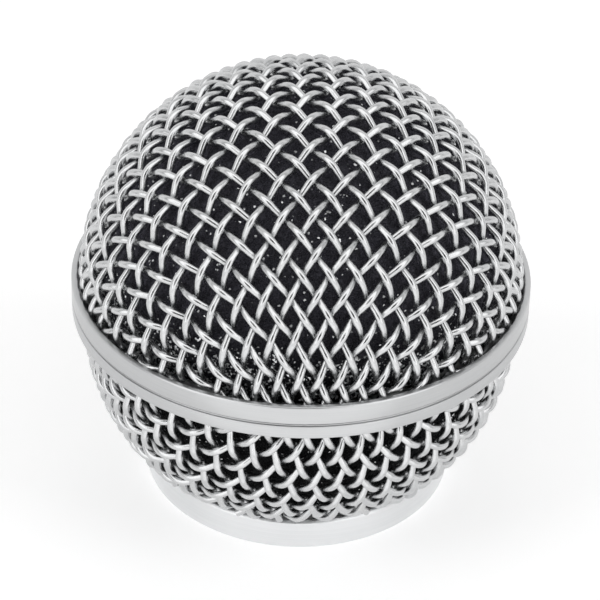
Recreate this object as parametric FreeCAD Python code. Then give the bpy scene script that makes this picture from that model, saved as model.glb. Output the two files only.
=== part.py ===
"""Ball grille of a hand-held stage microphone.

Two hemispheres of woven steel wire, an upper dome and a lower bowl, are clamped
rim to rim in a three-piece band. The bowl stands on a threaded collar, and a foam
liner backs the wire inside both halves. Millimetres, +Z up, origin at the middle
of the collar's bottom face.
"""
import FreeCAD, Part
import math
import os
from FreeCAD import Rotation, Vector

# ---- woven wire ----
WIRE_D = 0.82            # diameter of the round wire
PITCH = 2.61             # wire to wire, before the flat mesh is drawn into a bowl
RIM_SQUEEZE = 0.117      # the mesh is this much shorter round the rim, where the press gathers it
CROSSING_GAP = 0.05      # air between two wires where they cross
BEND_R = 1.9             # centre-line radius of the crimp over each crossing
LOCK_ANGLE = 42.0        # the crimp deepens where the mesh shears, down to this angle
LEAST_CROSSINGS = 3      # shorter offcuts fall out of the mesh
OUTWARD_SHARE = 0.4      # a wire's end climbs outwards over this much of a run at most
STUB_SHARE = 0.2         # and one without room for its last bend ends this much of a run before it

# ---- dome and bowl ----
DOME_R = 24.80           # over the wire crowns
DOME_TURN = 47.8         # the weave's turn about the axis, in degrees
DOME_LEAN_X = -0.6       # and how far its middle leans off the crown
DOME_LEAN_Y = -3.7
BOWL_STEP = 0.33         # the bowl is this much smaller in radius than the dome
BOWL_TURN = 55.2
BOWL_LEAN_X = 4.7
BOWL_LEAN_Y = 2.1
WIRE_END_GAP = 0.1       # from the end of a wire to what it stands on

# ---- band: two outer rings, and the ring between them that carries both rims ----
RIM_GAP = 0.13           # between the crowns and the band's bore
BAND_WALL = 0.57
UPPER_RING_H = 2.18
LOWER_RING_H = 1.58
WEB_H = 0.3              # the middle ring's web, seen as a fine line between the two
WEB_INSET = 0.1          # the web's edge lies this far inside the rings' faces
BOWL_SEAT_H = 0.5        # shoulder under the web that the bowl's rim stands against
SLEEVE_WALL = 0.5        # the web's sleeves, behind the wires' ends
SEAT_GAP = 0.05          # from that shoulder to the lower ring's bore
SLEEVE_RISE = 0.7
SLEEVE_DROP = 1.9
SLEEVE_GAP = 0.3         # between a sleeve and the inner crowns
RIM_LIP = 0.14           # inward lip at the top of the band
RIM_LIP_H = 0.45
LOWER_LIP_H = 0.5        # height of the lip that closes the band under the bowl's rim
EDGE = 0.12              # broken edges on the rings
DOME_ABOVE_WEB = 1.36    # the dome's centre above the web's top face
BOWL_BELOW_WEB = 2.88    # the bowl's centre below the web's underside

# ---- threaded collar ----
THREAD_D = 31.0
THREAD_PITCH = 1.0
THREAD_DEPTH = 0.54
THREAD_START = 37.0      # where the groove begins, round the collar
THREAD_FLAT = 0.14       # width of the thread's crests and of its root
COLLAR_WALL = 1.85       # outside the thread
COLLAR_H = 3.75          # up to the shoulder
COLLAR_EDGE = 0.25
RELIEF_H = 0.5           # plain groove at the thread's inner end
RELIEF_DEPTH = 0.05      # the groove is this much deeper than the thread
FLARE_WALL = 0.5         # the lip swaged out behind the bowl's wire ends
FLARE_H = 2.0
FLARE_GAP = 0.4          # between that lip and the inner crowns
SOLDER_H = 0.26
SOLDER_INSET = 0.1       # from the collar's outside to the bead
SOLDER_W = 1.3

# ---- foam liner ----
FOAM_GAP = 0.2           # behind the inner crowns
DOME_FOAM_T = 3.3
BOWL_FOAM_T = 2.8
FOAM_BORE_GAP = 0.3      # the foam stands this far behind the thread's bore
FOAM_JOINT_GAP = 0.1     # between the liner's halves
FOAM_EDGE_GAP = 0.2      # from the foam to the sleeves and the flare


def across(radius, rise):
    """Radius of a sphere's section at a height above or below its centre."""
    return math.sqrt(radius ** 2 - rise ** 2)


# ---- sizes worked out from the above ----
wire_r = WIRE_D / 2
crest = (WIRE_D + CROSSING_GAP) / 2     # a wire's centre line from the mesh's middle surface
half_mesh = crest + wire_r
bowl_r = DOME_R - BOWL_STEP
dome_mid_r = DOME_R - half_mesh
bowl_mid_r = bowl_r - half_mesh
dome_inner_r = dome_mid_r - half_mesh
bowl_inner_r = bowl_mid_r - half_mesh

thread_r = THREAD_D / 2
bore_r = thread_r - THREAD_DEPTH
collar_r = thread_r + COLLAR_WALL
solder_top = COLLAR_H + SOLDER_H
flare_top = COLLAR_H + FLARE_H

bowl_depth = across(bowl_mid_r, collar_r - COLLAR_EDGE)   # the mesh comes down on the collar's edge
bowl_z = solder_top + bowl_depth
web_bottom = bowl_z + BOWL_BELOW_WEB
web_top = web_bottom + WEB_H
dome_z = web_top + DOME_ABOVE_WEB
band_bore_r = DOME_R + RIM_GAP
band_r = band_bore_r + BAND_WALL
band_top = web_top + UPPER_RING_H
band_bottom = web_bottom - LOWER_RING_H
upper_sleeve_r = across(dome_inner_r, DOME_ABOVE_WEB) - SLEEVE_GAP
lower_sleeve_r = across(bowl_inner_r, BOWL_BELOW_WEB) - SLEEVE_GAP
sleeve_top = web_top + SLEEVE_RISE
sleeve_bottom = web_bottom - SLEEVE_DROP


def turned(section):
    """Solid of revolution about the axis, from the (radius, height) corners of its section."""
    corners = [Vector(r, 0, z) for r, z in section]
    face = Part.Face(Part.makePolygon(corners + corners[:1]))
    return face.revolve(Vector(0, 0, 0), Vector(0, 0, 1), 360)


def ball(radius, height):
    return Part.makeSphere(radius, Vector(0, 0, height))


def plug(radius, low, high):
    return Part.makeCylinder(radius, high - low, Vector(0, 0, low))


# ---- the weave ----

def side_angle(radius, middle, run):
    """Angle at the sphere's centre of a cell's side, from its middle and its run.

    A side up and down the sphere keeps its length. One that runs round it is
    gathered by the press, hardly at all near the crown and most at the rim.
    """
    round_it = Vector(-middle.y, middle.x, 0).normalize()
    round_share = (run.dot(round_it) / run.Length) ** 2
    fall = middle.getAngle(Vector(0, 0, 1)) / (math.pi / 2)
    return 2 * math.asin(PITCH / 2 / radius) * (1 - RIM_SQUEEZE * fall ** 4 * round_share)


def next_crossing(radius, corner, warp_side, weft_side):
    """The crossing that closes a cell, from its other three as directions.

    It lies one side from each of its two neighbours, on the far side from the corner.
    """
    along_warp = warp_side - corner
    along_weft = weft_side - corner
    near_warp = math.cos(side_angle(radius, warp_side + along_weft / 2, along_weft))
    near_weft = math.cos(side_angle(radius, weft_side + along_warp / 2, along_warp))
    between = warp_side.dot(weft_side)
    base = (warp_side * (near_warp - between * near_weft)
            + weft_side * (near_weft - between * near_warp)) / (1 - between ** 2)
    outward = warp_side.cross(weft_side).normalize()
    if outward.dot(corner) > 0:
        outward = outward * -1
    return base + outward * math.sqrt(1 - base.dot(base))


def drape(radius, count):
    """Crossings of a square mesh pressed over a sphere, as directions from its centre."""
    step = 2 * math.asin(PITCH / 2 / radius)
    net = {}
    for n in range(count + 1):
        net[n, 0] = Vector(math.sin(n * step), 0, math.cos(n * step))
        net[0, n] = Vector(0, math.sin(n * step), math.cos(n * step))
    for i in range(1, count + 1):
        for j in range(1, count + 1):
            corner = net[i - 1, j - 1]
            if corner.z > 0:
                net[i, j] = next_crossing(radius, corner, net[i, j - 1], net[i - 1, j])
            else:                        # past the rim, where the mesh is trimmed away
                plane = net[i - 1, j].cross(net[i, j - 1]).normalize()
                net[i, j] = corner - plane * (2 * corner.dot(plane))
    for (i, j), d in list(net.items()):
        net[-i, j] = Vector(-d.x, d.y, d.z)
        net[i, -j] = Vector(d.x, -d.y, d.z)
        net[-i, -j] = Vector(-d.x, -d.y, d.z)
    return net


def crest_height(net, i, j):
    """How far a wire's bend lies from the middle surface where it clears the wire it crosses.

    Where the drawn mesh is sheared, two bends come close beside the crossing too.
    """
    along_warp = net[i, j + 1] - net[i, j - 1]
    along_weft = net[i + 1, j] - net[i - 1, j]
    sheared = abs(along_warp.dot(along_weft)) / (along_warp.Length * along_weft.Length)
    spread = 2 * BEND_R * (1 - min(sheared, math.cos(math.radians(LOCK_ANGLE))))
    if spread > 4 * crest:
        return crest
    return 2 * crest ** 2 / spread + spread / 8


def corner_lift(half, height):
    """Height of a route's corner whose rounded bend crests at the given height.

    half is half the run to each neighbour, and the weave is taken as even there.
    """
    bend_r = min(BEND_R, 0.95 * (half ** 2 + height ** 2) / (2 * height))
    slope = math.atan2(half, bend_r - height) - math.acos(bend_r / math.hypot(half, bend_r - height))
    return half * math.tan(slope)


def end_on_run(kept, lost, limit):
    """Point between two crossings of a route, at the height where the wire is cut off.

    A wire on its way out to the next crossing is cut shorter, so that its end stays in the mesh.
    """
    share = (limit - kept[1]) / (lost[1] - kept[1])
    if lost[2] > 0:
        share = min(share, OUTWARD_SHARE)
    return kept[0] + (lost[0] - kept[0]) * share


def stretches(route, low, high):
    """The lengths of a wire between two heights, as lists of points.

    A route is a list of (point, height of the mesh's middle surface there, 1 where the wire
    is over and -1 where it is under).
    """
    lengths = []
    kept = []
    for n, (point, height, _) in enumerate(route):
        if low <= height <= high:
            if not kept and n > 0:
                lost = route[n - 1]
                kept.append(end_on_run(route[n], lost, low if lost[1] < low else high))
            kept.append(point)
        elif kept:
            kept.append(end_on_run(route[n - 1], route[n], low if height < low else high))
            lengths.append(kept)
            kept = []
    return [without_stubs(points) for points in lengths if len(points) >= LEAST_CROSSINGS + 2]


def without_stubs(points):
    """Ends a wire a little before its last crossing where the end leaves no room for a bend there."""
    if points[0].distanceToPoint(points[1]) < WIRE_D:
        points = [points[1] + (points[2] - points[1]) * STUB_SHARE] + points[2:]
    if points[-1].distanceToPoint(points[-2]) < WIRE_D:
        points = points[:-2] + [points[-2] + (points[-3] - points[-2]) * STUB_SHARE]
    return points


def bent_wire(points):
    """Round wire along a route: straight runs joined by tangent arcs."""
    edges = []
    start = points[0]
    last = len(points) - 2
    for n in range(1, last + 1):
        corner = points[n]
        along = corner - points[n - 1]
        away = points[n + 1] - corner
        room = 0.98 * min(along.Length if n == 1 else along.Length / 2,
                          away.Length if n == last else away.Length / 2)
        along.normalize()
        away.normalize()
        half_turn = along.getAngle(away) / 2
        bend_r = min(BEND_R, room / math.tan(half_turn))
        reach = bend_r * math.tan(half_turn)
        arc_start = corner - along * reach
        arc_end = corner + away * reach
        inward = (away - along).normalize()
        arc_middle = corner + inward * (bend_r / math.cos(half_turn) - bend_r)
        edges.append(Part.LineSegment(start, arc_start).toShape())
        edges.append(Part.Arc(arc_start, arc_middle, arc_end).toShape())
        start = arc_end
    edges.append(Part.LineSegment(start, points[-1]).toShape())
    section = Part.Circle(points[0], points[1] - points[0], wire_r).toShape()
    return Part.Wire(edges).makePipe(Part.Face(Part.Wire(section)))


def woven(mid_r, centre_z, up, low, high, lay):
    """The two families of wires of one half, warp and weft, between two heights.

    up is 1 for the dome and -1 for the bowl, and lay turns the weave on the sphere.
    """
    count = int(math.pi * mid_r / 2 / PITCH) + 2
    net = drape(mid_r, count + 1)
    span = range(-count, count + 1)

    def crossing(i, j, side):
        d = lay.multVec(net[i, j])
        d = Vector(d.x, d.y, up * d.z)
        both_runs = net[i, j + 1] - net[i, j - 1] if side == 1 else net[i + 1, j] - net[i - 1, j]
        over = side if (i + j) % 2 == 0 else -side
        lift = over * corner_lift(mid_r * both_runs.Length / 4, crest_height(net, i, j))
        return Vector(0, 0, centre_z) + d * (mid_r + lift), centre_z + mid_r * d.z, over

    warp = [[crossing(i, j, 1) for j in span] for i in span]
    weft = [[crossing(i, j, -1) for i in span] for j in span]
    return [Part.makeCompound([bent_wire(points) for route in family
                               for points in stretches(route, low, high)])
            for family in (warp, weft)]


def lay_of(turn, lean_x, lean_y):
    lean = Rotation(Vector(0, 1, 0), lean_y) * Rotation(Vector(1, 0, 0), lean_x)
    return lean * Rotation(Vector(0, 0, 1), turn)


def dome_wires():
    low = web_top + wire_r + WIRE_END_GAP
    lay = lay_of(DOME_TURN, DOME_LEAN_X, DOME_LEAN_Y)
    return woven(dome_mid_r, dome_z, 1, low, dome_z + DOME_R, lay)


def bowl_wires():
    high = web_bottom - BOWL_SEAT_H - wire_r - WIRE_END_GAP
    low = solder_top + WIRE_END_GAP + wire_r
    lay = lay_of(BOWL_TURN, BOWL_LEAN_X, BOWL_LEAN_Y)
    return woven(bowl_mid_r, bowl_z, -1, low, high, lay)


# ---- the band ----

def band_upper_ring():
    lip_r = band_bore_r - RIM_LIP
    return turned([
        (band_bore_r, web_top), (band_r - EDGE, web_top), (band_r, web_top + EDGE),
        (band_r, band_top - EDGE), (band_r - EDGE, band_top), (lip_r + EDGE, band_top),
        (lip_r, band_top - EDGE), (lip_r, band_top - RIM_LIP_H),
        (band_bore_r, band_top - RIM_LIP_H - RIM_LIP),
    ])


def band_middle_ring():
    upper_bore = upper_sleeve_r - SLEEVE_WALL
    lower_bore = lower_sleeve_r - SLEEVE_WALL
    web_r = band_r - WEB_INSET
    seat_r = band_bore_r - SEAT_GAP
    return turned([
        (lower_bore, sleeve_bottom), (lower_sleeve_r, sleeve_bottom),
        (lower_sleeve_r, web_bottom - BOWL_SEAT_H), (seat_r, web_bottom - BOWL_SEAT_H),
        (seat_r, web_bottom), (web_r, web_bottom), (web_r, web_top), (upper_sleeve_r, web_top),
        (upper_sleeve_r, sleeve_top), (upper_bore, sleeve_top), (upper_bore, web_top),
        (lower_bore, web_bottom),
    ])


def band_lower_ring():
    lip_r = bowl_r + RIM_GAP
    return turned([
        (lip_r, band_bottom), (band_r - EDGE, band_bottom), (band_r, band_bottom + EDGE),
        (band_r, web_bottom - EDGE), (band_r - EDGE, web_bottom), (band_bore_r, web_bottom),
        (band_bore_r, band_bottom + LOWER_LIP_H), (lip_r, band_bottom + LOWER_LIP_H),
    ])


# ---- the collar ----

def thread_groove(length):
    """Helical cutter with a trapezoid section, from below the mouth up to a height."""
    below = THREAD_PITCH
    inside = THREAD_FLAT / 4             # the cutter reaches this far inside the bore
    flank = (THREAD_PITCH / 2 - THREAD_FLAT) / THREAD_DEPTH
    half_mouth = THREAD_FLAT / 2 + flank * (THREAD_DEPTH + inside)
    section = [Vector(bore_r - inside, 0, -half_mouth), Vector(thread_r, 0, -THREAD_FLAT / 2),
               Vector(thread_r, 0, THREAD_FLAT / 2), Vector(bore_r - inside, 0, half_mouth)]
    helix = Part.makeHelix(THREAD_PITCH, length + below, bore_r)
    groove = helix.makePipeShell([Part.makePolygon(section + section[:1])], True, True)
    groove.translate(Vector(0, 0, -below))
    groove.rotate(Vector(0, 0, 0), Vector(0, 0, 1), THREAD_START)
    return groove


def threaded_collar():
    root_r = bore_r + FLARE_WALL
    flare_r = across(bowl_inner_r, bowl_z - flare_top) - FLARE_GAP
    relief_r = thread_r + RELIEF_DEPTH
    relief_low = COLLAR_H - RELIEF_H
    body = turned([
        (relief_r, 0), (collar_r - COLLAR_EDGE, 0), (collar_r, COLLAR_EDGE),
        (collar_r, COLLAR_H - COLLAR_EDGE), (collar_r - COLLAR_EDGE, COLLAR_H), (root_r, COLLAR_H),
        (flare_r, flare_top), (flare_r - FLARE_WALL, flare_top), (bore_r, COLLAR_H),
        (relief_r, COLLAR_H - RELIEF_H / 2), (relief_r, relief_low), (bore_r, relief_low),
        (bore_r, THREAD_DEPTH),
    ])
    return body.cut(thread_groove(relief_low))


def solder_bead():
    outer_r = collar_r - SOLDER_INSET
    inner_r = outer_r - SOLDER_W
    shoulder = SOLDER_H / 2
    return turned([
        (inner_r, COLLAR_H), (outer_r - COLLAR_EDGE, COLLAR_H), (outer_r - COLLAR_EDGE, COLLAR_H + shoulder),
        (outer_r - COLLAR_EDGE - shoulder, solder_top), (inner_r + shoulder, solder_top),
    ])


# ---- the foam liner ----

def dome_foam():
    foam_r = dome_inner_r - FOAM_GAP
    base = web_bottom + WEB_H / 2 + FOAM_JOINT_GAP / 2
    step_r = upper_sleeve_r - SLEEVE_WALL - FOAM_EDGE_GAP
    step_top = sleeve_top + FOAM_EDGE_GAP
    body = ball(foam_r, dome_z).cut(ball(foam_r - DOME_FOAM_T, dome_z))
    body = body.common(plug(DOME_R, base, dome_z + DOME_R))
    return body.cut(plug(DOME_R, base - 1, step_top).cut(plug(step_r, base - 1, step_top)))


def bowl_foam():
    foam_r = bowl_inner_r - FOAM_GAP
    top = web_bottom + WEB_H / 2 - FOAM_JOINT_GAP / 2
    base = flare_top + FOAM_EDGE_GAP
    step_r = lower_sleeve_r - SLEEVE_WALL - FOAM_EDGE_GAP
    step_bottom = sleeve_bottom - FOAM_EDGE_GAP
    body = ball(foam_r, bowl_z).cut(ball(foam_r - BOWL_FOAM_T, bowl_z))
    body = body.common(plug(DOME_R, base, top))
    body = body.cut(plug(bore_r + FOAM_BORE_GAP, 0, top))
    return body.cut(plug(DOME_R, step_bottom, top + 1).cut(plug(step_r, step_bottom, top + 1)))


def export(name, shape):
    shape.exportStep("parts/" + name + ".step")
    print("%-18s %3d solids %10.2f mm3" % (name, len(shape.Solids), shape.Volume))


os.makedirs("parts", exist_ok=True)
dome_warp, dome_weft = dome_wires()
bowl_warp, bowl_weft = bowl_wires()
export("dome_warp_wires", dome_warp)
export("dome_weft_wires", dome_weft)
export("bowl_warp_wires", bowl_warp)
export("bowl_weft_wires", bowl_weft)
export("band_upper_ring", band_upper_ring())
export("band_middle_ring", band_middle_ring())
export("band_lower_ring", band_lower_ring())
export("threaded_collar", threaded_collar())
export("solder_bead", solder_bead())
export("dome_foam", dome_foam())
export("bowl_foam", bowl_foam())
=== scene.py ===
# %% [markdown]
# # The ball grille of a hand-held stage microphone
# Two hemispheres of woven wire meet in a slim three-part band. The lower one stands on a threaded
# collar, and black foam lines both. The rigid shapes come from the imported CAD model. This script builds the
# wires, the foam, the solder and the turned parts finely enough for a close look, and gives each its finish.

# %% Load the frame
import math
import random

import bpy
from mathutils import Matrix, Quaternion, Vector


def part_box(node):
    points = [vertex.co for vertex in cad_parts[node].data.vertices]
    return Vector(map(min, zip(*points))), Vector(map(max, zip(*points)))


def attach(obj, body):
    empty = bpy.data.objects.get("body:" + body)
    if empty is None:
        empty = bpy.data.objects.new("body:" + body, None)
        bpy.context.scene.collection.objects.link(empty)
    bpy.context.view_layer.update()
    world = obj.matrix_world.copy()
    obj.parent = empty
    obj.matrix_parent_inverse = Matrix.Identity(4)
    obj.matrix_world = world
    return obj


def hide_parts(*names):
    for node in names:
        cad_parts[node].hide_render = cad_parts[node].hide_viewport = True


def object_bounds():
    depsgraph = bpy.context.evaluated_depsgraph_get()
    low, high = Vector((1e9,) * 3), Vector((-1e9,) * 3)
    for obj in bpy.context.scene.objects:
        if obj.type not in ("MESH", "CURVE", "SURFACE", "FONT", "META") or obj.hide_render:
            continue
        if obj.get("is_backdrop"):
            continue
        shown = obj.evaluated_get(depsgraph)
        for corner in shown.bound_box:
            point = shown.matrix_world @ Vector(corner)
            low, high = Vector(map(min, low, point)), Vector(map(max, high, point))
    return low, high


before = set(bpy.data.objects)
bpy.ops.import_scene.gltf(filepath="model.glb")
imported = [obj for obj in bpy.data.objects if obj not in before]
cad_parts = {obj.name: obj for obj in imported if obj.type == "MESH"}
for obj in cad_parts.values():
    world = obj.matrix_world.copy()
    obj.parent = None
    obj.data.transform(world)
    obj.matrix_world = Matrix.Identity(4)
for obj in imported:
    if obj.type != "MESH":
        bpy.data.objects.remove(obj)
cad_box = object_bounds()
print("CAD nodes:", ", ".join(sorted(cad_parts)))

# %% [markdown]
# ## Units and levels
# Everything here is in metres. The sizes below are the maker's sizes in millimetres, times MM. Heights are
# read from the CAD nodes where a node gives them, so that the new pieces sit exactly where the solids do.

# %% Sizes
MM = 0.001
WIRE_D = 0.82 * MM
WIRE_R = WIRE_D / 2
PITCH = 2.61 * MM
RIM_SQUEEZE = 0.117
CROSSING_GAP = 0.05 * MM
CREST = (WIRE_D + CROSSING_GAP) / 2
BEND_R = 1.9 * MM
LOCK_ANGLE = math.radians(42.0)
DOME_R = 24.80 * MM
BOWL_STEP = 0.33 * MM
BOWL_R = DOME_R - BOWL_STEP
HALF_MESH = CREST + WIRE_R

band_low, band_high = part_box("band_upper_ring")
collar_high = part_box("threaded_collar")[1]
ring_low, ring_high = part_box("band_lower_ring")
solder_low, solder_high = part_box("solder_bead")
web_top = band_low.z
web_bottom = ring_high.z
DOME_ABOVE_WEB = 1.36 * MM
BOWL_BELOW_WEB = 2.88 * MM
dome_z = web_top + DOME_ABOVE_WEB
bowl_z = web_bottom - BOWL_BELOW_WEB
print("web %.2f to %.2f mm, dome centre %.2f mm, bowl centre %.2f mm"
      % (web_bottom / MM, web_top / MM, dome_z / MM, bowl_z / MM))

# %% [markdown]
# ## Small helpers
# Blender's operators act on whatever is selected. So each piece begins with nothing selected, and a helper
# that makes a piece hands it back.

# %% Helpers for modelling
def start_fresh():
    """Leaves nothing selected, in object mode."""
    if bpy.context.object and bpy.context.object.mode != "OBJECT":
        bpy.ops.object.mode_set(mode="OBJECT")
    bpy.ops.object.select_all(action="DESELECT")


def take(piece):
    """Makes one object the only selected one and the active one."""
    start_fresh()
    piece.select_set(True)
    bpy.context.view_layer.objects.active = piece
    return piece


def edit_all():
    bpy.ops.object.mode_set(mode="EDIT")
    bpy.ops.mesh.select_all(action="SELECT")


def leave_edit():
    bpy.ops.object.mode_set(mode="OBJECT")


def apply_modifier(piece, kind, **settings):
    """Adds a modifier with these settings and applies it."""
    take(piece)
    modifier = piece.modifiers.new(kind.title(), kind)
    for key, value in settings.items():
        setattr(modifier, key, value)
    bpy.ops.object.modifier_apply(modifier=modifier.name)


def shade(piece, angle=30):
    take(piece)
    bpy.ops.object.shade_smooth_by_angle(angle=math.radians(angle))


def triangles(piece):
    return sum(len(face.vertices) - 2 for face in piece.data.polygons)


def loose_edges(piece):
    """Edges that don't have exactly two faces: none on a closed shell."""
    count = {}
    for face in piece.data.polygons:
        for key in face.edge_keys:
            count[key] = count.get(key, 0) + 1
    return sum(n != 2 for n in count.values())


def report(piece):
    low, high = Vector(piece.bound_box[0]), Vector(piece.bound_box[6])
    print("%-18s %7d triangles, %d open edges, z %.2f to %.2f mm"
          % (piece.name, triangles(piece), loose_edges(piece), low.z / MM, high.z / MM))


def turn(name, section, steps=256):
    """A turned ring: a circle is carried round its section's corners, and the last meets the first."""
    start_fresh()
    radius, height = section[0]
    bpy.ops.mesh.primitive_circle_add(vertices=steps, radius=radius, location=(0, 0, height))
    piece = bpy.context.object
    piece.name = name
    bpy.ops.object.transform_apply(location=True)
    edit_all()
    for next_radius, next_height in section[1:] + section[:1]:
        bpy.ops.mesh.extrude_edges_move()
        grow = next_radius / radius
        bpy.ops.transform.resize(value=(grow, grow, 1), center_override=(0, 0, height))
        bpy.ops.transform.translate(value=(0, 0, next_height - height))
        radius, height = next_radius, next_height
    bpy.ops.mesh.select_all(action="SELECT")
    bpy.ops.mesh.remove_doubles(threshold=1e-6)
    bpy.ops.mesh.normals_make_consistent(inside=False)
    leave_edit()
    return piece


# %% [markdown]
# ## Shader maths
# A finish is a small network of nodes. Writing it node by node hides the idea, so one class wraps a socket
# and lets it be added, multiplied and compared like a number. A second class makes one material's nodes.

# %% Signals and finishes
class Signal:
    """The output of a node, with the sums that the finishes below use."""

    def __init__(self, finish, socket):
        self.finish = finish
        self.socket = socket

    def maths(self, operation, first, second):
        return self.finish.node("ShaderNodeMath", {"operation": operation}, {0: first, 1: second})

    def __add__(self, other):
        return self.maths("ADD", self, other)

    def __sub__(self, other):
        return self.maths("SUBTRACT", self, other)

    def __rsub__(self, other):
        return self.maths("SUBTRACT", other, self)

    def __mul__(self, other):
        return self.maths("MULTIPLY", self, other)

    def __gt__(self, other):
        return self.maths("GREATER_THAN", self, other)

    __radd__ = __add__
    __rmul__ = __mul__


class Finish:
    """A material and the nodes in it."""

    def __init__(self, name):
        self.material = bpy.data.materials.new(name)
        self.material.use_nodes = True
        self.tree = self.material.node_tree
        self.tree.nodes.clear()

    def node(self, kind, settings=None, inputs=None, output=0):
        """Makes a node: its settings first, then the values or links of its sockets."""
        made = self.tree.nodes.new(kind)
        for key, value in (settings or {}).items():
            if key == "stops":
                ramp = made.color_ramp
                while len(ramp.elements) < len(value):
                    ramp.elements.new(0.5)
                for element, (place, colour) in zip(ramp.elements, value):
                    element.position = place
                    element.color = colour
            else:
                setattr(made, key, value)
        for key, value in (inputs or {}).items():
            if isinstance(value, Signal):
                self.tree.links.new(value.socket, made.inputs[key])
            else:
                made.inputs[key].default_value = value
        return Signal(self, made.outputs[output]) if made.outputs else None

    def place(self):
        """The point on the object in millimetres, so that pattern sizes read as on the real thing."""
        metres = self.node("ShaderNodeTexCoord", output="Object")
        return self.node("ShaderNodeVectorMath", {"operation": "SCALE"}, {0: metres, "Scale": 1 / MM})

    def noise(self, where, per_mm, detail=2.0, rough=0.5):
        return self.node("ShaderNodeTexNoise", None,
                         {"Vector": where, "Scale": per_mm, "Detail": detail, "Roughness": rough})

    def between(self, low, high, share):
        """A number from low to high by a share."""
        return share * (high - low) + low

    def stretch(self, share, low, high):
        """Spreads the part of a signal between low and high over the whole of 0 to 1."""
        return self.node("ShaderNodeMapRange", {"clamp": True},
                         {"Value": share, "From Min": low, "From Max": high})

    def blend(self, share, first, second):
        """One colour, another, or a mix of both."""
        return self.node("ShaderNodeMix", {"data_type": "RGBA"}, {0: share, 6: first, 7: second}, output=2)

    def bump(self, height, depth, strength=1.0, under=None):
        """Normals that follow a height from 0 to 1, worth depth in metres."""
        inputs = {"Height": height, "Distance": depth, "Strength": strength}
        if under is not None:
            inputs["Normal"] = under
        return self.node("ShaderNodeBump", None, inputs)

    def ends_in(self, shader):
        """Ends the network in this shader."""
        self.node("ShaderNodeOutputMaterial", None, {"Surface": shader})
        return self.material

    def surface(self, **inputs):
        """Ends the network in a Principled shader. A socket's name is written with _ for a space."""
        named = {key.replace("_", " "): value for key, value in inputs.items()}
        return self.ends_in(self.node("ShaderNodeBsdfPrincipled", None, named))


def grey(level, blue=0.0):
    """An almost neutral colour, with a touch more blue if asked."""
    return (level * (1 - blue), level, level * (1 + blue), 1.0)


def dress(piece, material):
    """Gives a piece its material and its place in the table."""
    piece.data.materials.clear()
    piece.data.materials.append(material)
    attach(piece, "root")
    report(piece)


# %% [markdown]
# ## The finishes
# The wire is steel, nickel plated to a satin sheen. Drawing leaves faint streaks along it, and plating a
# very fine grain. Satin metal shows long soft highlights, so the roughness matters more than the colour.

# %% Satin nickel for the wires
def satin_nickel():
    f = Finish("satin_nickel")
    where = f.place()
    patches = f.noise(where, 0.55, 3.0)
    grain = f.noise(where, 14.0, 3.0, 0.6)
    along = f.node("ShaderNodeUVMap", {"uv_map": "along_wire"})
    streaks = f.noise(f.node("ShaderNodeVectorMath", {"operation": "MULTIPLY"},
                             {0: along, 1: (1.2, 26.0, 1.0)}), 1.0, 3.0, 0.6)
    tone = f.stretch(patches * 0.5 + streaks * 0.3 + grain * 0.2, 0.38, 0.62)
    return f.surface(Base_Color=f.blend(tone, grey(0.53, 0.012), grey(0.64, 0.006)),
                     Metallic=1.0,
                     Roughness=f.between(0.20, 0.30, tone),
                     Normal=f.bump(grain * 0.6 + streaks * 0.4, 0.012 * MM, 0.55))


# %% [markdown]
# The band and the collar are turned on a lathe and then brushed round. The brushing lines run round the
# ring: on a flat face they change with the radius, on a wall with the height. One noise in (radius + height)
# gives both, and a little of x and y lets each line start and stop.

# %% Turned metal for the band and the collar
BRUSHED_ROUND = 0.7
ACROSS_THE_LINES = 0.25     # a quarter turn, so that highlights spread across the brushing


def turned_metal(name, dark, light, smooth, rough, line_depth, line_strength):
    f = Finish(name)
    where = f.place()
    flat = f.node("ShaderNodeVectorMath", {"operation": "MULTIPLY"}, {0: where, 1: (1.0, 1.0, 0.0)})
    radius = f.node("ShaderNodeVectorMath", {"operation": "LENGTH"}, {0: flat}, output="Value")
    split = f.node("ShaderNodeSeparateXYZ", None, {0: where}, output="Z")
    line = f.node("ShaderNodeCombineXYZ", None, {"X": radius + split, "Y": 0.0, "Z": 0.0})
    spread = f.node("ShaderNodeVectorMath", {"operation": "MULTIPLY_ADD"},
                    {0: where, 1: (0.016, 0.016, 0.0), 2: line})
    brushed = f.noise(spread, 16.0, 4.0, 0.62)
    broad = f.noise(spread, 3.0, 2.0)
    grain = f.noise(where, 20.0, 2.0)
    smudge = f.noise(where, 0.12, 2.0)
    tone = f.stretch(brushed * 0.5 + broad * 0.2 + grain * 0.15 + smudge * 0.15, 0.36, 0.64)
    return f.surface(Base_Color=f.blend(tone, grey(dark, 0.012), grey(light, 0.008)),
                     Metallic=1.0,
                     Roughness=f.between(smooth, rough, tone),
                     Anisotropic=BRUSHED_ROUND,
                     Anisotropic_Rotation=ACROSS_THE_LINES,
                     Normal=f.bump(brushed * 0.7 + grain * 0.3, line_depth, line_strength))


# %% [markdown]
# The solder that holds the lower wires is dull, and stays a little uneven. Its colour is painted nearly
# black, painted shade for the dark gaps between the wires. The foam is open celled: thin struts round black
# pores.
# Its colour is painted greyer towards the crown and darker by the band, painted light and shade. Flat flakes
# really catch the lamps, and are set far denser just above the band: painted glints there.

# %% Solder and foam
def solder_painted_shade():
    f = Finish("solder_painted_shade")
    where = f.place()
    flow = f.noise(where, 1.4, 3.0)
    grain = f.noise(where, 11.0, 2.0)
    # Painted shade: the solder's colour is nearly black, for the dark gaps between the wires at the collar.
    return f.surface(Base_Color=f.blend(f.stretch(flow, 0.35, 0.65), grey(0.06, 0.01), grey(0.14, 0.004)),
                     Metallic=1.0,
                     Roughness=f.between(0.26, 0.44, grain),
                     Normal=f.bump(flow * 0.7 + grain * 0.3, 0.05 * MM, 0.5))


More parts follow.
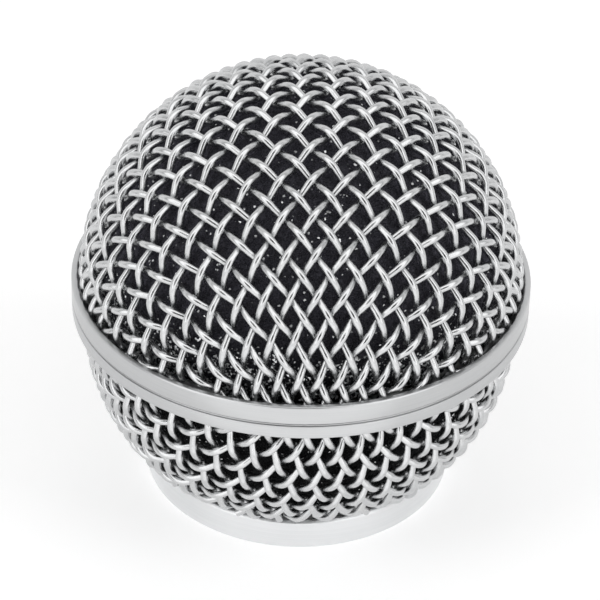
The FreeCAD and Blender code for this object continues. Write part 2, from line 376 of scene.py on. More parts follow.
def open_cell_foam():
    f = Finish("open_cell_foam")
    where = f.place()
    cells = f.node("ShaderNodeTexVoronoi", {"feature": "DISTANCE_TO_EDGE"}, {"Vector": where, "Scale": 2.3},
                   output="Distance")
    fine = f.node("ShaderNodeTexVoronoi", {"feature": "DISTANCE_TO_EDGE"}, {"Vector": where, "Scale": 5.2},
                  output="Distance")
    strut = f.stretch(cells, 0.16, 0.03) * f.stretch(fine, 0.30, 0.05)
    height = f.node("ShaderNodeSeparateXYZ", None, {0: where}, output="Z")
    # Painted light and shade: the foam's colour greys from dark by the band up to the crown.
    crown_painted_light = f.stretch(height, web_top / MM + 1.5, web_top / MM + 9.0)
    flake = f.node("ShaderNodeTexVoronoi", None, {"Vector": where, "Scale": 4.6}, output="Color")
    pick = f.node("ShaderNodeSeparateColor", None, {0: flake}, output=0)
    bright = f.node("ShaderNodeSeparateColor", None, {0: flake}, output=1)
    # Painted glints: the flakes really reflect the lamps, but are set far denser just above the band,
    # standing in for sparkle that light makes there.
    painted_glints_by_band = (f.stretch(height, web_top / MM + 7.0, web_top / MM + 3.5)
               * f.stretch(height, web_bottom / MM - 0.5, web_bottom / MM))
    flat = pick > f.between(0.985, 0.70, painted_glints_by_band)
    glint = flat * f.stretch(bright, 0.0, 0.35)
    black = f.blend(strut, f.blend(crown_painted_light, grey(0.0040, 0.2), (0.056, 0.055, 0.070, 1.0)),
                    f.blend(crown_painted_light, grey(0.020, 0.1), (0.092, 0.090, 0.110, 1.0)))
    hollow = f.bump((1 - f.stretch(cells, 0.0, 0.32)) * (1 - flat), 0.25 * MM, 0.9)
    return f.surface(Base_Color=f.blend(glint, black, grey(0.92, 0.01)),
                     Metallic=glint,
                     Specular_IOR_Level=0.25,
                     Roughness=f.between(0.85, 0.45, glint),
                     Normal=f.bump(fine * (1 - flat), 0.10 * MM, 0.6, under=hollow))


wire_finish = satin_nickel()
band_finish = turned_metal("satin_band", 0.49, 0.57, 0.28, 0.40, 0.006 * MM, 0.45)
inner_finish = turned_metal("plain_inner_ring", 0.44, 0.54, 0.34, 0.48, 0.006 * MM, 0.4)
collar_finish = turned_metal("satin_collar", 0.78, 0.86, 0.32, 0.46, 0.005 * MM, 0.4)
solder_finish = solder_painted_shade()
foam_finish = open_cell_foam()
print("finishes:", ", ".join(m.name for m in bpy.data.materials))

# %% [markdown]
# ## The weave
# Each half starts as a flat square mesh, drawn into a bowl. The wires can't stretch, so every cell keeps its
# sides and mostly shears, most on the diagonals near the rim. There the press gathers the mesh too: sides
# that run round the rim come out a little shorter. The net grows outwards from the crown, and each new
# crossing lies one side from each of its two neighbours. A wire is then straight runs joined by arcs, over
# one wire and under the next. A bevelled curve makes the round wire, because a curve keeps its section
# through every bend and carries its length as a texture coordinate.

# %% The net on a sphere
def side_angle(radius, middle, run):
    """Angle at the sphere's centre of a cell's side: smaller where it runs round the sphere near the rim."""
    round_it = Vector((-middle.y, middle.x, 0)).normalized()
    round_share = (run.dot(round_it) / run.length) ** 2
    fall = middle.angle(Vector((0, 0, 1))) / (math.pi / 2)
    return 2 * math.asin(PITCH / 2 / radius) * (1 - RIM_SQUEEZE * fall ** 4 * round_share)


def next_crossing(radius, corner, warp_side, weft_side):
    """The crossing that closes a cell, one side from each neighbour, on the far side from the corner."""
    along_warp = warp_side - corner
    along_weft = weft_side - corner
    near_warp = math.cos(side_angle(radius, warp_side + along_weft / 2, along_weft))
    near_weft = math.cos(side_angle(radius, weft_side + along_warp / 2, along_warp))
    between = warp_side.dot(weft_side)
    base = (warp_side * (near_warp - between * near_weft)
            + weft_side * (near_weft - between * near_warp)) / (1 - between ** 2)
    outward = warp_side.cross(weft_side).normalized()
    if outward.dot(corner) > 0:
        outward = -outward
    return base + outward * math.sqrt(1 - base.dot(base))


def drape(radius, count):
    """Crossings of the drawn mesh, as directions from the sphere's centre."""
    step = 2 * math.asin(PITCH / 2 / radius)
    net = {}
    for n in range(count + 1):
        net[n, 0] = Vector((math.sin(n * step), 0, math.cos(n * step)))
        net[0, n] = Vector((0, math.sin(n * step), math.cos(n * step)))
    for i in range(1, count + 1):
        for j in range(1, count + 1):
            corner = net[i - 1, j - 1]
            if corner.z > 0:
                net[i, j] = next_crossing(radius, corner, net[i, j - 1], net[i - 1, j])
            else:                        # past the rim, where the mesh is trimmed away
                plane = net[i - 1, j].cross(net[i, j - 1]).normalized()
                net[i, j] = corner - plane * (2 * corner.dot(plane))
    for (i, j), d in list(net.items()):
        net[-i, j] = Vector((-d.x, d.y, d.z))
        net[i, -j] = Vector((d.x, -d.y, d.z))
        net[-i, -j] = Vector((-d.x, -d.y, d.z))
    return net


def crest_height(net, i, j):
    """How far a bend lies from the mesh's middle to clear the wire it crosses: more in a sheared cell."""
    along_warp = net[i, j + 1] - net[i, j - 1]
    along_weft = net[i + 1, j] - net[i - 1, j]
    sheared = abs(along_warp.dot(along_weft)) / (along_warp.length * along_weft.length)
    spread = 2 * BEND_R * (1 - min(sheared, math.cos(LOCK_ANGLE)))
    if spread > 4 * CREST:
        return CREST
    return 2 * CREST ** 2 / spread + spread / 8


def corner_lift(half, height):
    """Height of a route's corner whose rounded bend tops out at the given height. half is half a run."""
    bend_r = min(BEND_R, 0.95 * (half ** 2 + height ** 2) / (2 * height))
    slope = math.atan2(half, bend_r - height) - math.acos(bend_r / math.hypot(half, bend_r - height))
    return half * math.tan(slope)


# %% Routes, cut between two heights
END_STUB = WIRE_D
LEAST_CROSSINGS = 3
OUTWARD_SHARE = 0.4
STUB_SHARE = 0.2


def end_on_run(kept, lost, limit):
    """Where a wire is cut off between two crossings: sooner where it is on its way out."""
    share = (limit - kept[1]) / (lost[1] - kept[1])
    if lost[2] > 0:
        share = min(share, OUTWARD_SHARE)
    return kept[0] + (lost[0] - kept[0]) * share


def without_stubs(points):
    """Ends a wire a little before its last crossing where the end leaves no room for a bend there."""
    if (points[1] - points[0]).length < END_STUB:
        points = [points[1] + (points[2] - points[1]) * STUB_SHARE] + points[2:]
    if (points[-1] - points[-2]).length < END_STUB:
        points = points[:-2] + [points[-2] + (points[-3] - points[-2]) * STUB_SHARE]
    return points


def stretches(route, low, high):
    """The lengths of a wire between two heights. A route's items are (point, height of the mesh, over)."""
    lengths = []
    kept = []
    for n, (point, height, _) in enumerate(route):
        if low <= height <= high:
            if not kept and n > 0:
                lost = route[n - 1]
                kept.append(end_on_run(route[n], lost, low if lost[1] < low else high))
            kept.append(point)
        elif kept:
            kept.append(end_on_run(route[n - 1], route[n], low if height < low else high))
            lengths.append(kept)
            kept = []
    return [without_stubs(points) for points in lengths if len(points) >= LEAST_CROSSINGS + 2]


# %% Bends with their true radius
ARC_STEP = math.radians(8)


def rounded(points):
    """The centre line of a bent wire: its runs, with each corner turned into points on an arc."""
    line = [points[0]]
    last = len(points) - 2
    for n in range(1, last + 1):
        corner = points[n]
        along = corner - points[n - 1]
        away = points[n + 1] - corner
        room = 0.98 * min(along.length if n == 1 else along.length / 2,
                          away.length if n == last else away.length / 2)
        along, away = along.normalized(), away.normalized()
        turn_angle = along.angle(away)
        bend_r = min(BEND_R, room / math.tan(turn_angle / 2))
        start = corner - along * bend_r * math.tan(turn_angle / 2)
        axis = along.cross(away).normalized()
        centre = start + axis.cross(along) * bend_r
        steps = max(2, math.ceil(turn_angle / ARC_STEP))
        for k in range(steps + 1):
            line.append(centre + Quaternion(axis, turn_angle * k / steps) @ (start - centre))
    return line + [points[-1]]


# %% Both families of one half
WARP, WEFT = 1, -1          # the side of the mesh on which a wire lies where i + j is even


def lay_of(turn_deg, lean_x, lean_y):
    """How the flat mesh lay over the former before it was drawn: a turn, and a lean off the crown."""
    return (Quaternion((0, 1, 0), math.radians(lean_y)) @ Quaternion((1, 0, 0), math.radians(lean_x))
            @ Quaternion((0, 0, 1), math.radians(turn_deg)))


def families(mid_r, centre_z, up, low, high, lay):
    """The routes of the warp and the weft of one half, between two heights. up is 1, or -1 for the bowl."""
    count = int(math.pi * mid_r / 2 / PITCH) + 2
    net = drape(mid_r, count + 1)
    span = range(-count, count + 1)

    def crossing(i, j, side):
        d = lay @ net[i, j]
        d = Vector((d.x, d.y, up * d.z))
        if side == WARP:
            both_runs = net[i, j + 1] - net[i, j - 1]
        else:
            both_runs = net[i + 1, j] - net[i - 1, j]
        over = side if (i + j) % 2 == 0 else -side
        lift = over * corner_lift(mid_r * both_runs.length / 4, crest_height(net, i, j))
        return Vector((0, 0, centre_z)) + d * (mid_r + lift), centre_z + mid_r * d.z, over

    warp = [[crossing(i, j, WARP) for j in span] for i in span]
    weft = [[crossing(i, j, WEFT) for i in span] for j in span]
    return [[points for route in family for points in stretches(route, low, high)]
            for family in (warp, weft)]


# %% From routes to round wire
WIRE_SIDES = 5


def wires(name, node, routes):
    """One piece of round wires with closed ends, from their routes."""
    start_fresh()
    curve = bpy.data.curves.new(name, "CURVE")
    curve.dimensions = "3D"
    curve.bevel_depth = WIRE_R
    curve.bevel_resolution = WIRE_SIDES
    curve.use_fill_caps = True
    for points in routes:
        line = rounded(points)
        spline = curve.splines.new("POLY")
        spline.points.add(len(line) - 1)
        for target, point in zip(spline.points, line):
            target.co = (*point, 1.0)
    piece = bpy.data.objects.new(name, curve)
    bpy.context.scene.collection.objects.link(piece)
    take(piece)
    bpy.ops.object.convert(target="MESH")
    piece = bpy.context.object
    edit_all()
    bpy.ops.mesh.remove_doubles(threshold=1e-7)
    bpy.ops.mesh.normals_make_consistent(inside=False)
    leave_edit()
    for layer in piece.data.uv_layers[:1]:
        layer.name = "along_wire"
    shade(piece, 50)
    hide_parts(node)
    dress(piece, wire_finish)
    low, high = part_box(node)
    made = [Vector(piece.bound_box[0]) - low, Vector(piece.bound_box[6]) - high]
    print("   %d wires, corners off the CAD node's by %.3f mm at most"
          % (len(routes), max(abs(c) for v in made for c in v) / MM))
    return piece


# %% The dome and the bowl
WIRE_END_GAP = 0.1 * MM
BOWL_SEAT_H = 0.5 * MM
dome_mid_r = DOME_R - HALF_MESH
bowl_mid_r = BOWL_R - HALF_MESH

DOME_LAY = lay_of(47.8, -0.6, -3.7)
BOWL_LAY = lay_of(55.2, 4.7, 2.1)
dome_routes = families(dome_mid_r, dome_z, 1, web_top + WIRE_R + WIRE_END_GAP, dome_z + DOME_R, DOME_LAY)
bowl_routes = families(bowl_mid_r, bowl_z, -1, solder_high.z + WIRE_END_GAP + WIRE_R,
                       web_bottom - BOWL_SEAT_H - WIRE_R - WIRE_END_GAP, BOWL_LAY)
wires("dome_warp", "dome_warp_wires", dome_routes[0])
wires("dome_weft", "dome_weft_wires", dome_routes[1])
wires("bowl_warp", "bowl_warp_wires", bowl_routes[0])
wires("bowl_weft", "bowl_weft_wires", bowl_routes[1])

# %% [markdown]
# ## The band
# Two rings show, with the edge of a third between them: a pale line between two dark seams. They are
# turned parts, so each section is carried round the axis. A real turned edge is never perfectly sharp: a
# small bevel on every corner gives the thin bright line along the rims. The seams are real grooves, fine and
# fairly deep.

# %% The three rings
EDGE = 0.12 * MM
RIM_GAP = 0.13 * MM
BAND_WALL = 0.57 * MM
RIM_LIP = 0.14 * MM
RIM_LIP_H = 0.45 * MM
LOWER_LIP_H = 0.5 * MM
SLEEVE_WALL = 0.5 * MM
SLEEVE_GAP = 0.3 * MM
SLEEVE_RISE = 0.7 * MM
SLEEVE_DROP = 1.9 * MM
SEAT_GAP = 0.05 * MM
WEB_INSET = 0.1 * MM
SEAM = 0.05 * MM
UPPER_SEAM = 0.12 * MM
SEAM_DEPTH = 0.25 * MM
BORE_R = DOME_R + RIM_GAP
BAND_R = BORE_R + BAND_WALL
LIP_R = BORE_R - RIM_LIP
LOWER_LIP_R = BOWL_R + RIM_GAP
dome_inner_r = DOME_R - 2 * HALF_MESH
bowl_inner_r = BOWL_R - 2 * HALF_MESH
upper_sleeve_r = math.sqrt(dome_inner_r ** 2 - DOME_ABOVE_WEB ** 2) - SLEEVE_GAP
lower_sleeve_r = math.sqrt(bowl_inner_r ** 2 - BOWL_BELOW_WEB ** 2) - SLEEVE_GAP
sleeve_top = web_top + SLEEVE_RISE
sleeve_bottom = web_bottom - SLEEVE_DROP
seat_bottom = web_bottom - BOWL_SEAT_H
seat_r = BORE_R - SEAT_GAP
web_r = BAND_R - WEB_INSET
band_top = band_high.z
band_bottom = ring_low.z


def soften(piece, width, segments=2, angle=25):
    """Rounds the turned edges a little and shades the walls smooth."""
    apply_modifier(piece, "BEVEL", width=width, segments=segments, limit_method="ANGLE",
                   angle_limit=math.radians(angle))
    shade(piece, 30)


upper_ring = turn("band_upper", [
    (BORE_R, web_top), (BAND_R - SEAM_DEPTH, web_top), (BAND_R, web_top + SEAM),
    (BAND_R, band_top - EDGE), (BAND_R - EDGE, band_top), (LIP_R + EDGE, band_top),
    (LIP_R, band_top - EDGE), (LIP_R, band_top - RIM_LIP_H), (BORE_R, band_top - RIM_LIP_H - RIM_LIP)])
soften(upper_ring, 0.04 * MM)
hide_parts("band_upper_ring")
dress(upper_ring, band_finish)

lower_ring = turn("band_lower", [
    (LOWER_LIP_R, band_bottom), (BAND_R - EDGE, band_bottom), (BAND_R, band_bottom + EDGE),
    (BAND_R, web_bottom - SEAM), (BAND_R - SEAM_DEPTH, web_bottom), (BORE_R, web_bottom),
    (BORE_R, band_bottom + LOWER_LIP_H), (LOWER_LIP_R, band_bottom + LOWER_LIP_H)])
soften(lower_ring, 0.04 * MM)
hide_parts("band_lower_ring")
dress(lower_ring, band_finish)

upper_bore = upper_sleeve_r - SLEEVE_WALL
lower_bore = lower_sleeve_r - SLEEVE_WALL
middle_ring = turn("band_middle", [
    (lower_bore, sleeve_bottom), (lower_sleeve_r, sleeve_bottom), (lower_sleeve_r, seat_bottom),
    (seat_r, seat_bottom), (seat_r, web_bottom), (web_r - SEAM_DEPTH, web_bottom),
    (web_r, web_bottom + SEAM), (web_r, web_top - UPPER_SEAM), (web_r - SEAM_DEPTH, web_top),
    (upper_sleeve_r, web_top), (upper_sleeve_r, sleeve_top), (upper_bore, sleeve_top),
    (upper_bore, web_top), (lower_bore, web_bottom)])
soften(middle_ring, 0.03 * MM)
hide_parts("band_middle_ring")
dress(middle_ring, inner_finish)

# %% [markdown]
# ## The collar
# The collar is turned too, and threaded inside so that the grille screws on to its handle. The groove of
# the thread is a small section that climbs as it turns, made with the Screw modifier and cut away with a
# boolean. Above the shoulder a thin lip is swaged out behind the wires' ends.

# %% The collar's body
THREAD_R = 15.5 * MM
THREAD_PITCH = 1.0 * MM
THREAD_DEPTH = 0.54 * MM
THREAD_FLAT = 0.14 * MM
COLLAR_WALL = 1.85 * MM
COLLAR_EDGE = 0.25 * MM
RELIEF_DEPTH = 0.05 * MM
RELIEF_H = 0.5 * MM
RELIEF_RUN_OUT = 0.25 * MM
FLARE_GAP = 0.4 * MM
FLARE_WALL = 0.5 * MM
bore_r = THREAD_R - THREAD_DEPTH
collar_r = THREAD_R + COLLAR_WALL
collar_h = solder_low.z
flare_top = collar_high.z
relief_r = THREAD_R + RELIEF_DEPTH
relief_low = collar_h - RELIEF_H
flare_r = math.sqrt(bowl_inner_r ** 2 - (bowl_z - flare_top) ** 2) - FLARE_GAP
flare_bore = flare_r - FLARE_WALL

collar = turn("collar", [
    (relief_r, 0), (collar_r - COLLAR_EDGE, 0), (collar_r, COLLAR_EDGE),
    (collar_r, collar_h - COLLAR_EDGE), (collar_r - COLLAR_EDGE, collar_h),
    (bore_r + FLARE_WALL, collar_h), (flare_r, flare_top), (flare_bore, flare_top),
    (bore_r, collar_h), (relief_r, collar_h - RELIEF_RUN_OUT), (relief_r, relief_low),
    (bore_r, relief_low), (bore_r, THREAD_DEPTH)])
apply_modifier(collar, "BEVEL", width=0.06 * MM, segments=3, limit_method="ANGLE",
               angle_limit=math.radians(25))

# %% The thread's groove
THREAD_STEPS = 96
reach = THREAD_FLAT / 4
flank = (THREAD_PITCH / 2 - THREAD_FLAT) / THREAD_DEPTH
half_mouth = THREAD_FLAT / 2 + flank * (THREAD_DEPTH + reach)
turns = (relief_low + THREAD_PITCH) / THREAD_PITCH

start_fresh()
bpy.ops.mesh.primitive_circle_add(vertices=4, radius=1.0, fill_type="NGON")
groove = bpy.context.object
groove.name = "groove"
section = [(bore_r - reach, -half_mouth), (THREAD_R, -THREAD_FLAT / 2),
           (THREAD_R, THREAD_FLAT / 2), (bore_r - reach, half_mouth)]
for vertex, (r, z) in zip(groove.data.vertices, section):
    vertex.co = (r, 0, z - THREAD_PITCH)
steps = int(THREAD_STEPS * turns)
apply_modifier(groove, "SCREW", angle=2 * math.pi * turns, screw_offset=THREAD_PITCH * turns,
               steps=steps, render_steps=steps, use_smooth_shade=False)
edit_all()
bpy.ops.mesh.remove_doubles(threshold=1e-7)
bpy.ops.mesh.select_all(action="DESELECT")
bpy.ops.mesh.select_mode(type="EDGE")
bpy.ops.mesh.select_non_manifold()
bpy.ops.mesh.fill_holes(sides=4)
bpy.ops.mesh.select_all(action="SELECT")
bpy.ops.mesh.normals_make_consistent(inside=False)
leave_edit()
report(groove)

apply_modifier(collar, "BOOLEAN", operation="DIFFERENCE", object=groove, solver="EXACT")
bpy.data.objects.remove(groove)
shade(collar, 30)
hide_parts("threaded_collar")
dress(collar, collar_finish)

# %% [markdown]
# ## The solder
# The lower wires are soldered to the collar. The fillet is uneven: it climbs a little where a wire comes
# down and sinks between. A plain bead and one drop at each wire's end are melted into one skin by a voxel
# remesh, which is close to what the solder did.

# %% The solder and its drops
SOLDER_INSET = 0.1 * MM
SOLDER_W = 1.3 * MM
BEAD_LIFT = 0.02 * MM
BEAD_ROUND = 0.15 * MM
DROP_SIZES = (0.34, 0.46)   # mm
DROP_SINK = 0.12 * MM
DROP_SPREAD = 1.15
NEAR_BEAD = 1.0 * MM
SKIN_CELL = 0.11 * MM
random.seed(7)
bead_r = collar_r - SOLDER_INSET
bead_in = bead_r - SOLDER_W
bead_low = collar_h + BEAD_LIFT
bead_top = solder_high.z
bead_out = bead_r - COLLAR_EDGE
solder = turn("solder", [
    (bead_in, bead_low), (bead_out, bead_low), (bead_out, collar_h + BEAD_ROUND),
    (bead_out - BEAD_ROUND, bead_top), (bead_in + BEAD_ROUND, bead_top)], steps=192)
ends = [end for family in bowl_routes for points in family for end in (points[0], points[-1])
        if end.z < bead_top + NEAR_BEAD]
drops = []
for end in ends:
    start_fresh()
    size = random.uniform(*DROP_SIZES) * MM
    reach_out = min(math.hypot(end.x, end.y), bead_r - size * 0.9)
    middle = Vector((end.x, end.y, 0)).normalized() * reach_out
    bpy.ops.mesh.primitive_ico_sphere_add(subdivisions=2, radius=size,
                                          location=(middle.x, middle.y, bead_top - DROP_SINK))
    drop = bpy.context.object
    bpy.ops.transform.resize(value=(DROP_SPREAD, DROP_SPREAD, random.uniform(0.55, 0.95)))
    drops.append(drop)
start_fresh()
for drop in drops:
    drop.select_set(True)
solder.select_set(True)
bpy.context.view_layer.objects.active = solder
bpy.ops.object.join()
solder = bpy.context.object
bpy.ops.object.transform_apply(location=True, rotation=True, scale=True)
apply_modifier(solder, "REMESH", mode="VOXEL", voxel_size=SKIN_CELL)
apply_modifier(solder, "SMOOTH", factor=0.6, iterations=4)
print("drops of solder:", len(drops))
shade(solder, 180)
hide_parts("solder_bead")
dress(solder, solder_finish)

# %% [markdown]
# ## The foam
# The liner is a moulded skin of open-cell foam, close behind the wires. It is soft, so it isn't a clean
# surface: cells open all over it. The outer skins are dense enough for a displacement by a cell texture, and
# the finish adds the finer cells. All of it moves inwards, so the foam never touches the wires.

# %% The dome's foam
FOAM_GAP = 0.2 * MM
FOAM_EDGE_GAP = 0.2 * MM
FOAM_JOINT_GAP = 0.1 * MM
DOME_FOAM_T = 3.3 * MM
BOWL_FOAM_T = 2.8 * MM
FOAM_BORE_GAP = 0.3 * MM
CELL_DEPTH = 0.35 * MM
CELL_SIZE = 0.9 * MM
KEPT_EDGE = 0.1 * MM
foam_joint = (web_top + web_bottom) / 2
dome_foam_r = dome_inner_r - FOAM_GAP
dome_base = foam_joint + FOAM_JOINT_GAP / 2
step_r = upper_bore - FOAM_EDGE_GAP
step_top = sleeve_top + FOAM_EDGE_GAP


def cap(name, radius, centre_z, base_z, fineness):
    """The part of a ball above a height, open underneath."""
    start_fresh()
    bpy.ops.mesh.primitive_ico_sphere_add(subdivisions=fineness, radius=radius, location=(0, 0, centre_z))
    piece = bpy.context.object
    piece.name = name
    bpy.ops.object.transform_apply(location=True)
    edit_all()
    bpy.ops.mesh.bisect(plane_co=(0, 0, base_z), plane_no=(0, 0, 1), clear_inner=True)
    leave_edit()
    return piece


def open_cells(piece, skin_vertices):
    """Opens foam cells in these vertices of a piece, inwards only."""
    group = piece.vertex_groups.new(name="skin")
    group.add([vertex.index for vertex in skin_vertices], 1.0, "REPLACE")
    texture = bpy.data.textures.new("foam_cells", "VORONOI")
    texture.noise_scale = CELL_SIZE
    texture.noise_intensity = 1.0
    apply_modifier(piece, "DISPLACE", texture=texture, texture_coords="LOCAL", strength=CELL_DEPTH,
                   mid_level=1.0, vertex_group="skin")


skin = cap("dome_liner", dome_foam_r, dome_z, dome_base, 8)
for vertex in skin.data.vertices:
    r = math.hypot(vertex.co.x, vertex.co.y)
    if vertex.co.z < step_top and r > step_r:
        vertex.co.x *= step_r / r
        vertex.co.y *= step_r / r
open_cells(skin, [v for v in skin.data.vertices if v.co.z > dome_base + KEPT_EDGE])

lining = cap("lining", dome_foam_r - DOME_FOAM_T, dome_z, dome_base, 5)
edit_all()
bpy.ops.mesh.flip_normals()
leave_edit()
start_fresh()
lining.select_set(True)
skin.select_set(True)
bpy.context.view_layer.objects.active = skin
bpy.ops.object.join()
bpy.ops.object.mode_set(mode="EDIT")
bpy.ops.mesh.select_all(action="DESELECT")
bpy.ops.mesh.select_mode(type="EDGE")
bpy.ops.mesh.select_non_manifold()
bpy.ops.mesh.bridge_edge_loops()
leave_edit()
shade(skin, 60)
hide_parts("dome_foam")
dress(skin, foam_finish)

# %% The bowl's foam
bowl_foam_r = bowl_inner_r - FOAM_GAP
bowl_lining_r = bowl_foam_r - BOWL_FOAM_T
neck_r = bore_r + FOAM_BORE_GAP
bowl_base = flare_top + FOAM_EDGE_GAP
bowl_top = foam_joint - FOAM_JOINT_GAP / 2
bowl_step_r = lower_bore - FOAM_EDGE_GAP
bowl_step_z = sleeve_bottom - FOAM_EDGE_GAP
FOAM_STEP = 0.3 * MM
LINING_STEP = 1.5 * MM
ON_THE_BALL = 0.01 * MM


def arc(radius, centre_z, low, high, step):
    """Points up a ball's side between two heights, evenly spaced along it."""
    first, last = math.asin((low - centre_z) / radius), math.asin((high - centre_z) / radius)
    count = max(2, round(abs(last - first) * radius / step))
    angles = [first + (last - first) * n / count for n in range(count + 1)]
    return [(radius * math.cos(a), centre_z + radius * math.sin(a)) for a in angles]


neck_z = bowl_z - math.sqrt(bowl_lining_r ** 2 - neck_r ** 2)
side = arc(bowl_foam_r, bowl_z, bowl_base, bowl_step_z, FOAM_STEP)
inside = arc(bowl_lining_r, bowl_z, bowl_top, neck_z, LINING_STEP)
bowl_liner = turn("bowl_liner", side + [(bowl_step_r, bowl_step_z), (bowl_step_r, bowl_top)] + inside
                  + [(neck_r, bowl_base)], steps=int(2 * math.pi * bowl_foam_r / FOAM_STEP))
bowl_centre = Vector((0, 0, bowl_z))
open_cells(bowl_liner, [v for v in bowl_liner.data.vertices
                        if abs((v.co - bowl_centre).length - bowl_foam_r) < ON_THE_BALL
                        and v.co.z > bowl_base + KEPT_EDGE])
shade(bowl_liner, 60)
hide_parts("bowl_foam")
dress(bowl_liner, foam_finish)

# %% [markdown]
# ## The studio
# A pale floor, two large soft lamps left and right, and a weaker one behind. The lamps don't show in
# reflections. What the metal mirrors is a light tent: a dark opening that the camera looks in through, a
# bright wall round it, greyer sides, and a pale card on the table. So a round wire shows a quiet line
# between two bright ones, and greyer edges.

# %% The camera
def looking(place, target, roll=0.0):
    """A turn that looks from a place at a target."""
    back = (place - target).normalized()
    right = Vector((0, 0, 1)).cross(back).normalized()
    up = back.cross(right)
    spun = right * math.cos(roll) + up * math.sin(roll)
    return Matrix((spun, back.cross(spun), back)).transposed().to_quaternion()


CAMERA_ELEVATION = math.radians(34.89)
CAMERA_DISTANCE = 330 * MM
CAMERA_ROLL = math.radians(1.45)
target = Vector((-0.06 * MM, 0, band_top - 4.07 * MM))
place = target + Vector((0, -math.cos(CAMERA_ELEVATION), math.sin(CAMERA_ELEVATION))) * CAMERA_DISTANCE
camera_data = bpy.data.cameras.new("camera")
camera_data.sensor_width = 36.0
camera_data.lens = 176.9
camera_data.clip_start = 0.01
camera_data.clip_end = 50.0
camera = bpy.data.objects.new("camera", camera_data)
bpy.context.scene.collection.objects.link(camera)
camera.location = place
camera.rotation_mode = "QUATERNION"
camera.rotation_quaternion = looking(place, target, CAMERA_ROLL)
bpy.context.scene.camera = camera
print("camera at", tuple(round(c / MM, 1) for c in place), "mm")


# %% The lamps
LAMPS_AIM = Vector((0, 0, 0.02))


def softbox(name, stand, size, watts):
    lamp = bpy.data.lights.new(name, "AREA")
    lamp.shape = "RECTANGLE"
    lamp.size, lamp.size_y = size
    lamp.energy = watts
    holder = bpy.data.objects.new(name, lamp)
    bpy.context.scene.collection.objects.link(holder)
    holder.location = stand
    holder.rotation_mode = "QUATERNION"
    holder.rotation_quaternion = looking(Vector(stand), LAMPS_AIM)
    holder.visible_glossy = False
    print("%-12s %.1f W" % (name, watts))


softbox("lamp_left", (-0.42, -0.16, 0.30), (0.30, 0.45), 0.9)
softbox("lamp_right", (0.42, -0.16, 0.30), (0.30, 0.45), 0.9)
softbox("lamp_back", (0.0, 0.45, 0.35), (0.50, 0.25), 0.4)

# %% What only reflections show
def lit_cloth(name, strength):
    f = Finish(name)
    return f.ends_in(f.node("ShaderNodeEmission", None, {"Color": (1, 1, 1, 1), "Strength": strength}))


def only_reflected(piece, name, material):
    """Names a piece of the stage that only reflections show, without light or shadow of its own."""
    piece.name = name
    piece.visible_camera = False
    piece.visible_diffuse = False
    piece.visible_shadow = False
    piece.data.materials.append(material)
    piece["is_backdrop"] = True
    print("%-12s only in reflections" % name)


# %% The tent: its opening, bright wall and greyer sides
TENT_DISTANCE = 0.6
OPENING_R = 0.26
TENT_WALL_R = 1.10
TENT_WALL_GLOW = 1.7
TENT_SIDES_R = 4.0
TENT_SIDES_GLOW = 0.6


def faces_target(piece):
    """Stands a piece on the camera's side of the target and turns it to the target."""
    piece.rotation_mode = "QUATERNION"
    piece.location = target + (place - target).normalized() * TENT_DISTANCE
    piece.rotation_quaternion = looking(piece.location, target)


def tent_ring(name, inner_r, outer_r, strength):
    """A flat ring of lit cloth that faces the target."""
    start_fresh()
    bpy.ops.mesh.primitive_circle_add(vertices=48, radius=inner_r)
    edit_all()
    bpy.ops.mesh.extrude_edges_move()
    bpy.ops.transform.resize(value=(outer_r / inner_r, outer_r / inner_r, 1))
    leave_edit()
    ring = bpy.context.object
    faces_target(ring)
    only_reflected(ring, name, lit_cloth(name, strength))


start_fresh()
bpy.ops.mesh.primitive_circle_add(vertices=48, radius=OPENING_R, fill_type="NGON")
opening = bpy.context.object
faces_target(opening)
f = Finish("dark_opening")
dark = f.ends_in(f.node("ShaderNodeBsdfDiffuse", None, {"Color": (0.03, 0.03, 0.03, 1)}))
only_reflected(opening, "tent_opening", dark)
tent_ring("tent_wall", OPENING_R, TENT_WALL_R, TENT_WALL_GLOW)
tent_ring("tent_sides", TENT_WALL_R, TENT_SIDES_R, TENT_SIDES_GLOW)

# %% The pale card on the table, just in front
CARD_R = 60 * MM
CARD_PLACE = (0, -95 * MM, 0.5 * MM)
CARD_GLOW = 1.4
start_fresh()
bpy.ops.mesh.primitive_circle_add(vertices=48, radius=CARD_R, fill_type="NGON", location=CARD_PLACE)
only_reflected(bpy.context.object, "front_card", lit_cloth("pale_card", CARD_GLOW))

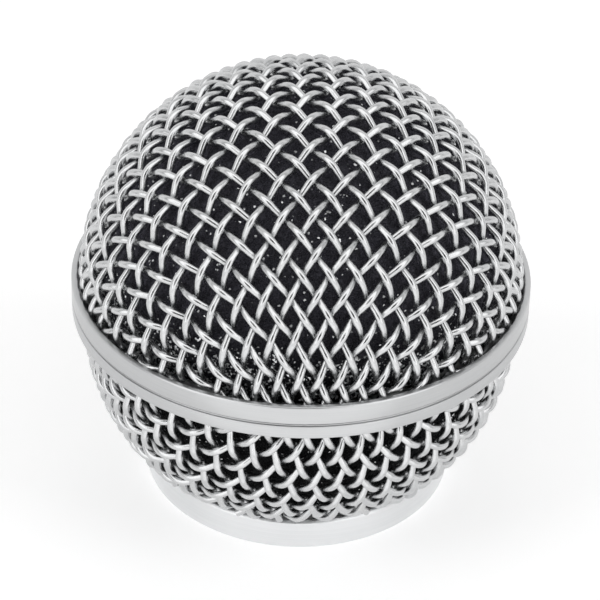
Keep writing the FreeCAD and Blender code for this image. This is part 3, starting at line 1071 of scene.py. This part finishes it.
# %% The floor
DIRECT_RAYS = ("Is Camera Ray", "Is Glossy Ray", "Is Transmission Ray")
FLOOR_GLOW = 0.45
start_fresh()
bpy.ops.mesh.primitive_plane_add(size=6.0, location=(0, 0, 0))
floor = bpy.context.object
floor.name = "floor"
f = Finish("pale_floor")
seen = [f.node("ShaderNodeLightPath", output=name) for name in DIRECT_RAYS]
bright = f.node("ShaderNodeMath", {"operation": "MAXIMUM"}, {0: seen[0], 1: seen[1]})
bright = f.node("ShaderNodeMath", {"operation": "MAXIMUM"}, {0: bright, 1: seen[2]})
diffuse = f.node("ShaderNodeBsdfDiffuse", None, {"Color": (0.80, 0.80, 0.80, 1)})
glow = f.node("ShaderNodeEmission", None, {"Color": (1, 1, 1, 1), "Strength": bright * FLOOR_GLOW})
floor.data.materials.append(f.ends_in(f.node("ShaderNodeAddShader", None, {0: diffuse, 1: glow})))
floor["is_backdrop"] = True
print("floor: %.1f m square" % floor.dimensions.x)

# %% The air round it: white where it is looked at, dimmer as a light
AIR_LIGHT = 0.45
AIR_WHITE = 1.0
world = bpy.data.worlds.new("studio")
bpy.context.scene.world = world
world.use_nodes = True
nodes, links = world.node_tree.nodes, world.node_tree.links
background = nodes["Background"]
path = nodes.new("ShaderNodeLightPath")
any_two = nodes.new("ShaderNodeMath")
any_two.operation = "MAXIMUM"
any_three = nodes.new("ShaderNodeMath")
any_three.operation = "MAXIMUM"
level = nodes.new("ShaderNodeMapRange")
level.inputs["To Min"].default_value = AIR_LIGHT
level.inputs["To Max"].default_value = AIR_WHITE
links.new(path.outputs[DIRECT_RAYS[0]], any_two.inputs[0])
links.new(path.outputs[DIRECT_RAYS[1]], any_two.inputs[1])
links.new(any_two.outputs[0], any_three.inputs[0])
links.new(path.outputs[DIRECT_RAYS[2]], any_three.inputs[1])
links.new(any_three.outputs[0], level.inputs["Value"])
links.new(level.outputs[0], background.inputs["Strength"])
background.inputs["Color"].default_value = (1, 1, 1, 1)
bpy.context.scene.view_settings.view_transform = "Standard"
print("air: %.2f as a light, %.2f seen" % (AIR_LIGHT, AIR_WHITE))

# %% [markdown]
# ## Sizes at the end
# Both boxes are printed: the CAD model's and the finished model's. The finished model must stay
# inside the CAD model's box.

# %% Sizes and the last line
made_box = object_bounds()
for name, box in (("cad", cad_box), ("made", made_box)):
    print(name, [[round(c / MM, 2) for c in corner] for corner in box])
